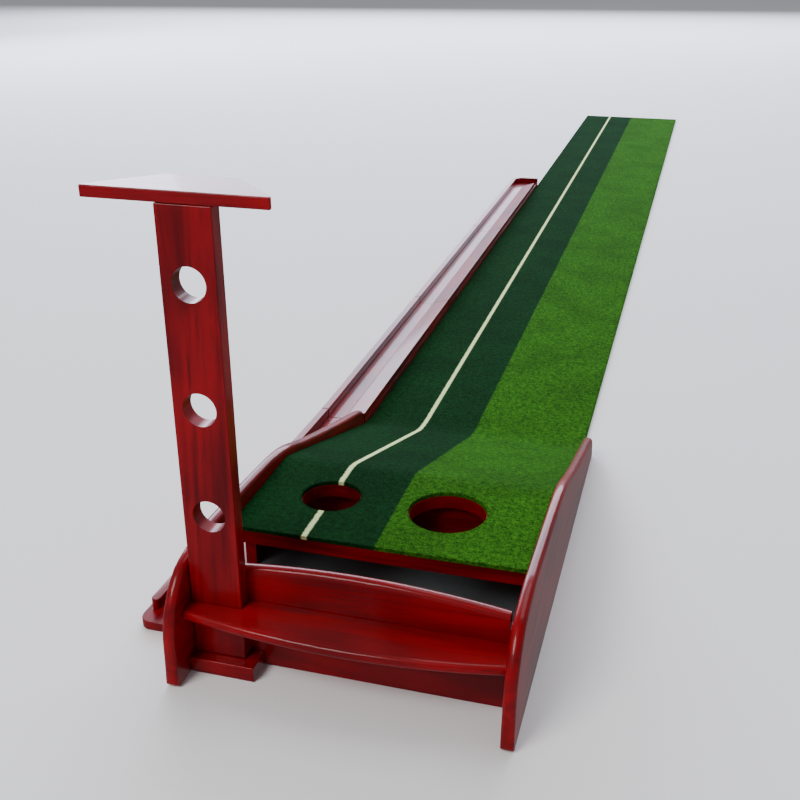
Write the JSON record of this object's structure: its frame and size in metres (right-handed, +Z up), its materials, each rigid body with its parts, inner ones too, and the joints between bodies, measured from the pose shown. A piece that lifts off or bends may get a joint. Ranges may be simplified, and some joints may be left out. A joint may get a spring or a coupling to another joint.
{
  "type": "practice putting mat",
  "caption": "Long narrow turf putting mat with a raised lacquered wooden head, ball holes, an upright post with a flat top, and a ball-return track along one side.",
  "frame": {"origin": "middle of the object's box on the floor", "axes": "+Y along the mat from the wooden head to the putting end, +Z up, +X from the return track towards the plain side"},
  "size_m": [0.3932, 3.13, 0.456],
  "materials": {
    "lacquered_wood": "deep red high-gloss lacquer over fine grain",
    "turf": "short dense tufted pile in two greens with a pale line",
    "felt": "dark matt felt",
    "plain_wood": "unfinished",
    "screw_steel": "zinc plated"
  },
  "bodies": {
    "head": {"left_side_panel": "lacquered_wood", "right_side_panel": "lacquered_wood", "front_board": "lacquered_wood", "shelf": "lacquered_wood", "foot_block": "lacquered_wood", "deck_board": "lacquered_wood", "ramp_board": "lacquered_wood", "turf_mat": "turf", "trough_floor": "lacquered_wood", "trough_lining": "felt", "trough_back_board": "lacquered_wood", "left_cleat": "plain_wood", "right_cleat": "plain_wood", "left_cleat_screw_1": "screw_steel", "left_cleat_screw_2": "screw_steel", "right_cleat_screw_1": "screw_steel", "right_cleat_screw_2": "screw_steel", "left_lower_board_dowel": "plain_wood", "left_upper_board_dowel": "plain_wood", "right_lower_board_dowel": "plain_wood", "right_upper_board_dowel": "plain_wood", "outlet_tray": "lacquered_wood", "outlet_rail": "lacquered_wood", "track_joint_1_dowel_1": "plain_wood", "track_joint_1_dowel_2": "plain_wood"},
    "post_assembly": {"post": "lacquered_wood", "top_plate": "lacquered_wood", "plate_dowel_1": "plain_wood", "plate_dowel_2": "plain_wood"},
    "track_1": {"track_1_base": "lacquered_wood", "track_1_outer_rail": "lacquered_wood", "track_1_inner_rail": "lacquered_wood", "track_joint_2_dowel_1": "plain_wood", "track_joint_2_dowel_2": "plain_wood"},
    "track_2": {"track_2_base": "lacquered_wood", "track_2_outer_rail": "lacquered_wood", "track_2_inner_rail": "lacquered_wood", "track_joint_3_dowel_1": "plain_wood", "track_joint_3_dowel_2": "plain_wood"},
    "track_3": {"track_3_base": "lacquered_wood", "track_3_outer_rail": "lacquered_wood", "track_3_inner_rail": "lacquered_wood", "track_end_stop": "lacquered_wood"}
  },
  "joints": [
    {"name": "post_lift", "type": "slide", "parent": "head", "child": "post_assembly", "axis": [0, 0, 1], "range_m": [0, 0.07]},
    {"name": "track_1_pull", "type": "slide", "parent": "head", "child": "track_1", "axis": [0, 1, 0], "range_m": [0, 0.02]},
    {"name": "track_2_pull", "type": "slide", "parent": "track_1", "child": "track_2", "axis": [0, 1, 0], "range_m": [0, 0.02]},
    {"name": "track_3_pull", "type": "slide", "parent": "track_2", "child": "track_3", "axis": [0, 1, 0], "range_m": [0, 0.02]}
  ]
}
